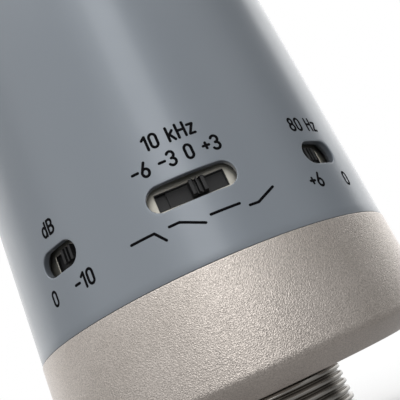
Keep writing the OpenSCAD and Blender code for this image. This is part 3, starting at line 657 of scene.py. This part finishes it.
# Each switch has its angle and its face's distance from the axis, the half lengths of its window, its
# frame and the slider's skirt, which keeps the window dark, and the knob's place at rest.
switches = {
    "pad": dict(turn=-switch_turn, face=29.6 * MM, window=2.8 * MM, half=5.3 * MM, skirt=3.79 * MM,
                rest=-1 * MM),
    "tone": dict(turn=0.0, face=29.3 * MM, window=5.1 * MM, half=6.9 * MM, skirt=4.49 * MM,
                 rest=-1 * MM),
    "mode": dict(turn=switch_turn, face=29.6 * MM, window=2.8 * MM, half=5.3 * MM, skirt=3.79 * MM,
                 rest=1 * MM)}


def knob(turn, rest, low, high):
    """A ribbed block: its outline across the ribs is carried along their length and drawn in at
    both ends, and each rib is a round-shouldered step on it."""
    x = np.linspace(-knob_x, knob_x, 61)
    away = np.abs(x[:, None] - rib_at[None]) / rib_half[None]
    top = high - 0.35 * MM + rib_height * np.clip((1.3 - away) / 0.45, 0, 1).max(1)
    top -= shoulder * np.clip((np.abs(x) - knob_x + shoulder) / shoulder, 0, 1) ** 2
    outline = np.vstack([np.stack([x, top], -1), [[knob_x, low], [-knob_x, low]]])
    middle = np.array([0, (low + high) / 2])
    half_ways = [(0.88, 1), (0.96, 0.985), (1, 0.93), (1, 0)]
    rows = []
    for z, shrink in [(-z, shrink) for z, shrink in half_ways[::-1]] + half_ways:
        ring = middle + (outline - middle) * shrink
        rows.append(at_switch(turn, rest + ring[:, 0], ring[:, 1], switch_z + z * knob_z))
    return grid(np.array(rows), wrap_columns=True, flip=True)


for name, s in switches.items():
    face, half, window, turn = s["face"], s["half"], s["window"], s["turn"]
    back = face - 3 * MM
    tray = [(window, window_z, 0.12 * MM, face - sheet), (window, window_z, 0.12 * MM, face - bevel),
            (window + bevel, window_z + bevel, 0.15 * MM, face),
            (half - 0.25 * MM, frame_z - 0.25 * MM, 0.2 * MM, face),
            (half - 0.07 * MM, frame_z - 0.07 * MM, 0.3 * MM, face - 0.07 * MM),
            (half, frame_z, 0.35 * MM, face - 0.25 * MM), (half, frame_z, 0.3 * MM, face - sheet)]
    flange = [(half, sheet / 2, 0.02 * MM, face - 0.2 * MM), (half, sheet / 2, 0.02 * MM, back + bevel),
              (half - bevel, sheet / 2 - bevel, 0.02 * MM, back)]
    flanges = [stacked(turn, flange, 0, side * (frame_z - sheet / 2)) for side in (-1, 1)]
    build(name + "_frame", [stacked(turn, tray, closed=True), *flanges], switch_nickel,
          stands_for=[name + "_switch_frame"])
    # A black lip lines each window's cut edge: a dark piece standing in for the shadowed gap round the
    # slider, a painted shade.
    lip_x, lip_z = window - 0.13 * MM, window_z - 0.13 * MM
    lip = [(lip_x, lip_z, 0.05 * MM, face - lip_depth), (lip_x, lip_z, 0.05 * MM, face - bevel),
           (lip_x + lip_wall, lip_z + lip_wall, 0.1 * MM, face - bevel),
           (lip_x + lip_wall, lip_z + lip_wall, 0.1 * MM, face - lip_depth)]
    build(name + "_window_shade_lip", [stacked(turn, lip, closed=True)], knob_black)
    top, skirt, skirt_z = face - sheet - 0.13 * MM, s["skirt"], 1.8 * MM
    plate = [(skirt - 0.04 * MM, skirt_z - 0.04 * MM, 0.07 * MM, top),
             (skirt, skirt_z, 0.1 * MM, top - 0.04 * MM), (skirt, skirt_z, 0.1 * MM, top - 0.3 * MM),
             (skirt - 0.05 * MM, skirt_z - 0.05 * MM, 0.05 * MM, top - 0.35 * MM)]
    handle = knob(turn, s["rest"], top - 0.1 * MM, face + 0.8 * MM)
    build(name + "_knob", [stacked(turn, plate, s["rest"]), handle], knob_black, 40,
          body=name + "_knob", stands_for=[name + "_slider"])


# The head ring sits on the tube and holds the basket's foot. Like the base it is cast, grained and
# nickel plated. The crown ring on top clamps the dome, and two flat posts join the rings.
head_nickel = nickel("head_nickel", cast_dark, cast_light, cast_rough, grain_size, grain_depth)
head_low, head_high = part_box("head_ring")
crown_low, crown_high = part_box("crown_ring")
basket_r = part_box("outer_mesh")[1].x
lining_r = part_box("inner_mesh")[1].x
ring_bore = 27.2 * MM
seat_r = basket_r + 0.05 * MM
seat_z = head_high.z - 2.9 * MM
ring_outline = rounded([
    (ring_bore, head_low.z, 0.1 * MM), (tube_r, head_low.z, 0.12 * MM),
    (tube_r, head_high.z - 1.9 * MM, 0.5 * MM), (tube_r - 1.5 * MM, head_high.z, 0.4 * MM),
    (seat_r, head_high.z, 0.1 * MM), (seat_r, seat_z, 0), (ring_bore, seat_z, 0.1 * MM)])
build("grille_ring", [turned(ring_outline)], head_nickel, stands_for=["head_ring"])
crown_r = crown_high.x
crown_bore = 26.5 * MM
crown_outline = rounded([
    (crown_bore, crown_low.z, 0.1 * MM), (crown_r - 0.2 * MM, crown_low.z, 0.3 * MM),
    (crown_r, crown_low.z + 0.5 * MM, 0.3 * MM), (crown_r, crown_high.z - 0.9 * MM, 0.5 * MM),
    (crown_r - 1 * MM, crown_high.z, 0.4 * MM), (crown_bore, crown_high.z, 0.1 * MM)])
build("grille_crown", [turned(crown_outline)], head_nickel,
      stands_for=["crown_ring"])


def post(side):
    """A flat bar with round edges between the two rings: a loop round its section, bent to the
    basket's curve, and carried straight up."""
    half_width, half_thick = 3 * MM, 0.58 * MM
    loop = loop_of(half_width, half_thick, 0.35 * MM, 4)
    middle = basket_r + 0.67 * MM
    rows = []
    for z in np.linspace(head_high.z + 0.05 * MM, crown_low.z - 0.05 * MM, 12):
        rows.append(on_tube(side * math.pi / 2 + loop[:, 0] / middle, z, middle + loop[:, 1]))
    return grid(np.array(capped(rows)), wrap_columns=True, flip=True)


for side, name in ((1, "left"), (-1, "right")):
    build("grille_post_" + name, [post(side)], head_nickel,
          stands_for=["mesh_post_" + name])


# The basket is three pieces of woven wire: a coarse outer cylinder, a fine lining that stops spit and
# screens the capsule, and a dome pressed from the coarse cloth. All are nickel plated.
def wire_metal(name, dark, light, roughness):
    """Plated wire, a little darker where the plating is thin."""
    material, tree, shader = principled(name, light, roughness, 1.0)
    tint(tree, noise(tree, 5 * MM, 2).outputs["Fac"], dark, light, shader.inputs["Base Color"])
    shine = noise(tree, 1.1 * MM, 2).outputs["Fac"]
    spread(tree, shine, roughness - 0.05, roughness + 0.07, shader.inputs["Roughness"])
    bump(tree, shader, noise(tree, 0.15 * MM, 1).outputs["Fac"], 0.004 * MM, 0.3)
    return material


mesh_wire = wire_metal("mesh_wire", (0.50, 0.48, 0.45), (0.66, 0.64, 0.60), 0.28)
fine_wire = wire_metal("fine_wire", (0.30, 0.29, 0.28), (0.42, 0.41, 0.39), 0.36)


def wires(spines, outs, radius, sides, closed=False):
    """Round wires along many spines at once. Round each point of a spine the section is a ring,
    across the spine's own direction, that starts on the side given by outs."""
    step = np.roll(spines, -1, 1) - np.roll(spines, 1, 1) if closed else np.gradient(spines, axis=1)
    beside = np.cross(step, outs)
    beside /= np.linalg.norm(beside, axis=-1, keepdims=True)
    up = np.cross(beside, step)
    up /= np.linalg.norm(up, axis=-1, keepdims=True)
    turn = np.linspace(0, 2 * math.pi, sides, endpoint=False)[:, None]
    circle = np.cos(turn) * up[:, :, None] + np.sin(turn) * beside[:, :, None]
    rings = spines[:, :, None] + radius * circle
    if not closed:
        first, last = (np.broadcast_to(spines[:, end, None, None], rings[:, :1].shape) for end in (0, -1))
        rings = np.concatenate([first, rings, last], 1)
    return [grid(ring, wrap_rows=closed, wrap_columns=True) for ring in rings]


# Each wire sways a little more than its own radius, so that crossing wires just clear each other, and
# the middle of the cloth lies a little over two wire radii inside its outside.
sway_share = 1.02
half_cloth = 2.1


def cloth(name, outer_r, low, high, columns, pitch, wire_r, per_cell, sides, material, node):
    """A woven cylinder. Uprights and rings pass over and under each other: along each wire its
    distance from the axis is a cosine of the crossings passed, opposite for the wire it crosses."""
    radius = outer_r - half_cloth * wire_r
    rows = int((high - low) / pitch)
    first = (low + high - rows * pitch) / 2
    sway = wire_r * sway_share
    level = np.linspace(0, rows, rows * per_cell + 1)
    column = np.arange(columns)[:, None]
    turn = 2 * math.pi * column / columns
    away = radius + sway * np.cos(math.pi * (level[None] + column))
    upright = on_tube(turn, first + level[None] * pitch, away)
    outs = on_tube(turn, 0 * level[None], 1.0)
    build(name + "_uprights", wires(upright, outs, wire_r, sides), material, 80,
          stands_for=[node])
    along = np.linspace(0, columns, columns * per_cell, endpoint=False)[None]
    row = np.arange(rows + 1)[:, None]
    turn = 2 * math.pi * along / columns
    ring = on_tube(turn, first + row * pitch, radius - sway * np.cos(math.pi * (along + row)))
    rings = wires(ring, on_tube(turn, 0 * row, 1.0), wire_r, sides, closed=True)
    build(name + "_rings", rings, material, 80)


mesh_low, mesh_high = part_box("outer_mesh")
wire_r = 0.24 * MM
wire_pitch = 1.8 * MM
cloth("basket", basket_r, mesh_low.z, mesh_high.z, 102, wire_pitch, wire_r, 4, 6, mesh_wire,
      "outer_mesh")
fine_r = 0.095 * MM
fine_pitch = 0.9 * MM
cloth("lining", lining_r, mesh_low.z, mesh_high.z, 196, fine_pitch, fine_r, 2, 4, fine_wire,
      "inner_mesh")

dome_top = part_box("dome_mesh")[1].z
dome_rise = dome_top - crown_high.z
dome_r = (basket_r ** 2 + dome_rise ** 2) / (2 * dome_rise)


def dome_cloth(across):
    """Half of a woven cloth pressed over a ball: the wires that run one way. Each keeps its distance
    in plan, its height is the ball's there, and it sways along the ball's radius."""
    reach = basket_r - 0.35 * MM
    count = int(reach / wire_pitch)
    strands = []
    for i in range(-count, count + 1):
        half = math.sqrt(reach ** 2 - (i * wire_pitch) ** 2)
        steps = max(8, int(half / wire_pitch * 6))
        run = np.linspace(-half, half, steps)
        fixed = np.full_like(run, i * wire_pitch)
        x, y = (fixed, run) if across else (run, fixed)
        out = np.stack([x, y, np.sqrt(dome_r ** 2 - x ** 2 - y ** 2)], -1) / dome_r
        sway = wire_r * sway_share * np.cos(math.pi * (run / wire_pitch + i))
        away = dome_r - half_cloth * wire_r + (sway if across else -sway)
        ball = out * away[:, None] + (0, 0, dome_top - dome_r)
        strands += wires(ball[None], out[None], wire_r, 6)
    return strands


for across, name in ((True, "lengthways"), (False, "crossways")):
    build("dome_wires_" + name, dome_cloth(across), mesh_wire, 80,
          stands_for=["dome_mesh"] if across else ())


# The cable socket sits in the collar's bore: a moulded insert locked by a side screw, and three
# turned and gold-plated pins with round noses and soldering cups.
def dress(material, *nodes):
    """Gives its finish to parts whose CAD shape stays."""
    for node in nodes:
        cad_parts[node].material_slots[0].material = material


def metal(name, dark, light, roughness, grain=0.4 * MM, stretch=(1, 1, 1)):
    """A bare or plated metal with a directional or even grain and slightly uneven shine."""
    material, tree, shader = principled(name, light, roughness, 1.0)
    tint(tree, noise(tree, 4 * MM, 3).outputs["Fac"], dark, light, shader.inputs["Base Color"])
    marks = noise(tree, grain, 3, stretch)
    spread(tree, marks.outputs["Fac"], roughness - 0.06, roughness + 0.08, shader.inputs["Roughness"])
    bump(tree, shader, marks.outputs["Fac"], 0.008 * MM, 0.4)
    return material


insert_black = plastic("insert_black", (0.012, 0.012, 0.013), (0.022, 0.022, 0.024), 0.40)
contact_gold = metal("contact_gold", (0.86, 0.60, 0.26), (0.98, 0.74, 0.38), 0.22)
black_oxide = metal("black_oxide", (0.035, 0.035, 0.038), (0.075, 0.075, 0.080), 0.38)
dress(insert_black, "socket_insert")
dress(black_oxide, "insert_screw", "base_screws")
pin_low, pin_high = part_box("contact_pins")
pin_r = 1.2 * MM
pin_circle = pin_high.x - pin_r
# A pin's radius and height above its nose, in millimetres, from the nose to the hollow of its cup.
pin_outline = [(0, 0), (0.35, 0.03), (0.75, 0.22), (1.05, 0.62), (1.2, 1.2), (1.2, 21.0), (1.14, 21.1),
               (1.14, 22.05), (0.86, 22.1), (0.8, 22.0), (0.8, 20.2), (0, 20.2)]


def pin(x, y):
    """The pin's outline turned round the pin's own axis, at a place in plan."""
    turn = np.linspace(0, 2 * math.pi, 32, endpoint=False)[None]
    radius, height = np.array(pin_outline).T[:, :, None] * MM
    points = np.broadcast_arrays(x + radius * np.cos(turn), y + radius * np.sin(turn), pin_low.z + height)
    return grid(np.stack(points, -1), wrap_columns=True)


build("socket_pins", [pin(pin_circle, 0), pin(-pin_circle, 0), pin(0, -pin_circle)], contact_gold,
      stands_for=["contact_pins"])


# A thin nickel disc on the front of the tube marks the side to sing at. It is bent to the tube and
# glued in a shallow seat, has a raised rim, and a plain heart-shaped pickup curve printed in black.
badge_low, badge_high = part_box("front_badge")
badge_r = (badge_high.z - badge_low.z) / 2
badge_z = (badge_low.z + badge_high.z) / 2
badge_metal = metal("badge_metal", (0.66, 0.64, 0.60), (0.78, 0.76, 0.71), 0.24, 0.3 * MM)
badge_face = tube_r + 0.08 * MM
badge_field = tube_r + 0.03 * MM


def disc(profile):
    """A disc bent to the tube: each (radius from its centre, distance from the axis) makes a ring."""
    turn = np.linspace(0, 2 * math.pi, 96, endpoint=False)[None]
    ring, depth = np.array(profile).T[:, :, None]
    return grid(on_tube(math.pi + ring * np.cos(turn) / tube_r, badge_z + ring * np.sin(turn), depth),
                wrap_columns=True, flip=True)


badge_back = tube_r - 0.5 * MM
rim = [(r, badge_field) for r in np.linspace(0, badge_r - 1.0 * MM, 9)]
rim += [(badge_r - 0.9 * MM, badge_face - 0.02 * MM), (badge_r - 0.8 * MM, badge_face),
        (badge_r - 0.2 * MM, badge_face), (badge_r - 0.05 * MM, badge_face - 0.03 * MM),
        (badge_r, tube_r), (badge_r, badge_back), (0, badge_back)]
build("address_badge", [disc(rim)], badge_metal, stands_for=["front_badge"])
# The curve's distance from its own middle is 1 plus the cosine of the angle from straight up.
turn = np.radians(np.linspace(-172, 172, 97))
heart_half = 2.3 * MM
heart = (heart_half * (1 + np.cos(turn)))[:, None] * np.stack([np.sin(turn), np.cos(turn)], -1)
heart = heart + (math.pi * tube_r, badge_z - 1.9 * MM)
build("badge_curve", [brushed(heart, 0.22 * MM, badge_field)], ink)


# The chassis is folded and turned from aluminium: a floor, two rails and a head plate, held together
# by zinc-plated screws, with a folded bracket that carries the three switches and their boards.
brushed_aluminium = metal("brushed_aluminium", (0.58, 0.58, 0.59), (0.74, 0.74, 0.75), 0.34, 0.5 * MM,
                          stretch=(1, 1, 0.06))
zinc = metal("zinc_plate", (0.52, 0.52, 0.50), (0.68, 0.68, 0.66), 0.30)
dress(brushed_aluminium, "chassis_floor", "rail_left", "rail_right", "head_plate", "switch_bracket")
dress(zinc, "rail_screws", "board_screws", "bracket_screws", "strap_screws", "head_screws", "saddle_screws",
      "ring_screws", "transformer_strap")

# The electronics are a glass-fibre board with its parts, a transformer in a shielding can, and the
# switches' own small boards, black housings and soldered terminals.
board_green, tree, shader = principled("solder_mask", (0.02, 0.12, 0.06), 0.32)
tracks = noise(tree, 2.4 * MM, 0, (1, 1, 0.25), "ShaderNodeTexVoronoi")
over_copper, over_board = (0.030, 0.150, 0.075), (0.012, 0.075, 0.036)
tint(tree, tracks.outputs["Distance"], over_copper, over_board, shader.inputs["Base Color"])
bump(tree, shader, tracks.outputs["Distance"], 0.03 * MM, 0.4)
dress(board_green, "main_board", "switch_boards")
dress(metal("can_steel", (0.42, 0.42, 0.44), (0.56, 0.56, 0.58), 0.30, 0.8 * MM), "output_transformer")
dress(plastic("housing_black", (0.014, 0.014, 0.015), (0.024, 0.024, 0.026), 0.45), "pad_switch_housing",
      "tone_switch_housing", "mode_switch_housing", "input_transistor")
dress(contact_gold, "switch_terminals")
dress(plastic("dipped_red", (0.38, 0.030, 0.018), (0.52, 0.055, 0.030), 0.28, 0.6 * MM), "film_capacitors")
dress(plastic("sleeve_blue", (0.020, 0.060, 0.20), (0.030, 0.090, 0.28), 0.30, 0.3 * MM),
      "electrolytic_capacitors")
dress(plastic("resistor_tan", (0.50, 0.36, 0.20), (0.62, 0.47, 0.28), 0.40, 0.3 * MM), "resistors")
dress(plastic("trimmer_blue", (0.03, 0.14, 0.42), (0.05, 0.20, 0.54), 0.38), "gain_trimmer")
dress(plastic("lead_red", (0.42, 0.03, 0.025), (0.56, 0.05, 0.04), 0.42), "output_leads")
dress(plastic("lead_white", (0.66, 0.65, 0.62), (0.80, 0.79, 0.76), 0.42), "capsule_leads")

# The capsule has two gold-sputtered films, stretched over a drilled brass body by screwed rings. It
# stands in a dark saddle on a white insulating deck, which floats on a rubber ring.
dress(metal("capsule_brass", (0.62, 0.43, 0.20), (0.80, 0.60, 0.32), 0.26), "capsule_body",
      "front_clamp_ring", "back_clamp_ring")
film_gold, tree, shader = principled("film_gold", (0.95, 0.72, 0.35), 0.18, 1.0)
drilled = noise(tree, 1.6 * MM, 0, (1, 1, 1), "ShaderNodeTexVoronoi")
drilled.inputs["Randomness"].default_value = 0.0
film_hole, film_brass = (0.55, 0.38, 0.15), (0.96, 0.74, 0.38)
tint(tree, drilled.outputs["Distance"], film_hole, film_brass, shader.inputs["Base Color"])
bump(tree, shader, noise(tree, 6 * MM, 2).outputs["Fac"], 0.02 * MM, 0.5)
dress(film_gold, "front_diaphragm", "back_diaphragm")
dress(plastic("saddle_grey", (0.045, 0.045, 0.048), (0.070, 0.070, 0.074), 0.5), "capsule_saddle")
dress(plastic("deck_white", (0.70, 0.69, 0.66), (0.80, 0.79, 0.76), 0.36), "capsule_deck")
dress(plastic("isolator_rubber", (0.018, 0.018, 0.018), (0.032, 0.032, 0.031), 0.75, 0.4 * MM),
      "deck_isolator")


# A pale floor lies under the stand collar. It glows more with distance, so that it fades into the
# white surround, and it neither lights the object nor shows in its plating.
floor_material, tree, shader = principled("pale_floor", (0.80, 0.80, 0.80), 0.7)
spread(tree, noise(tree, 0.3, 2).outputs["Fac"], 0.65, 0.75, shader.inputs["Roughness"])
from_middle = tree.nodes.new("ShaderNodeTexCoord")
distance = tree.nodes.new("ShaderNodeVectorMath")
distance.operation = "LENGTH"
tree.links.new(from_middle.outputs["Object"], distance.inputs[0])
far_light = tree.nodes.new("ShaderNodeEmission")
fade = tree.nodes.new("ShaderNodeMixShader")
glow_from, glow_full = 0.03, 0.6
spread(tree, distance.outputs["Value"], 0.45, 1, fade.inputs["Fac"], glow_from, glow_full)
tree.links.new(shader.outputs["BSDF"], fade.inputs[1])
tree.links.new(far_light.outputs["Emission"], fade.inputs[2])
tree.links.new(fade.outputs["Shader"], tree.nodes["Material Output"].inputs["Surface"])
floor_mesh = bpy.data.meshes.new("floor")
floor_half = 6.0
floor_corners = [(-floor_half, -floor_half, 0), (floor_half, -floor_half, 0),
                 (floor_half, floor_half, 0), (-floor_half, floor_half, 0)]
floor_mesh.from_pydata(floor_corners, [], [(0, 1, 2, 3)])
floor_mesh.materials.append(floor_material)
floor = bpy.data.objects.new("floor", floor_mesh)
bpy.context.scene.collection.objects.link(floor)
floor.visible_diffuse = False
floor.visible_glossy = False

# The surround is a ring of upright soft bands. The narrow bright strip beside the camera gives the
# tube its long highlight, greys stand further round, and white is behind. Low down all of it turns
# to the grey of a room's floor, and the camera itself sees only white.
world = bpy.data.worlds.new("studio")
bpy.context.scene.world = world
world.use_nodes = True
tree = world.node_tree
background = tree.nodes["Background"]
direction = tree.nodes.new("ShaderNodeTexCoord")
turn_round = tree.nodes.new("ShaderNodeMapping")
turn_round.inputs["Rotation"].default_value = (0, 0, -camera_turn)
angle = tree.nodes.new("ShaderNodeTexGradient")
angle.gradient_type = "RADIAL"
ramp = tree.nodes.new("ShaderNodeValToRGB")
# Each stop is an angle in degrees from the camera's direction, and the brightness there.
studio = [(-180, 1.15), (-125, 1.05), (-113, 0.84), (-104, 0.46), (-84, 0.48), (-68, 0.82), (-20, 0.70),
          (-6, 1.0), (0, 2.1), (13, 2.25), (20, 0.60), (32, 0.40), (50, 0.52), (64, 0.57), (78, 0.42),
          (90, 0.20), (99, 0.10), (112, 0.22), (122, 1.4), (180, 1.4)]
while len(ramp.color_ramp.elements) < len(studio):
    ramp.color_ramp.elements.new(0.5)
for element, (turn, light) in zip(ramp.color_ramp.elements, studio):
    element.position = 0.5 + turn / 360
    element.color = (light, light, light, 1)
seen = tree.nodes.new("ShaderNodeLightPath")
choose = tree.nodes.new("ShaderNodeMixRGB")
choose.inputs["Color2"].default_value = (1, 1, 1, 1)
tree.links.new(direction.outputs["Generated"], turn_round.inputs["Vector"])
tree.links.new(turn_round.outputs["Vector"], angle.inputs["Vector"])
tree.links.new(angle.outputs["Fac"], ramp.inputs["Fac"])
split = tree.nodes.new("ShaderNodeSeparateXYZ")
ground = tree.nodes.new("ShaderNodeMixRGB")
room_floor = 0.31
ground.inputs["Color2"].default_value = (room_floor, room_floor, room_floor, 1)
tree.links.new(direction.outputs["Generated"], split.inputs["Vector"])
ground_from, ground_to = -0.28, 0.05
spread(tree, split.outputs["Z"], 1, 0, ground.inputs["Fac"], ground_from, ground_to)
tree.links.new(ramp.outputs["Color"], ground.inputs["Color1"])
tree.links.new(ground.outputs["Color"], choose.inputs["Color1"])
tree.links.new(seen.outputs["Is Camera Ray"], choose.inputs["Fac"])
tree.links.new(choose.outputs["Color"], background.inputs["Color"])

# One wide soft box hangs overhead and shines straight down.
box_data = bpy.data.lights.new("overhead", "AREA")
box_data.shape = "RECTANGLE"
box_data.size = 1.6
box_data.size_y = 1.6
box_data.energy = 10
overhead = bpy.data.objects.new("overhead", box_data)
overhead.location = (0, 0, 1.3)
bpy.context.scene.collection.objects.link(overhead)
bpy.context.scene.view_settings.view_transform = "Standard"
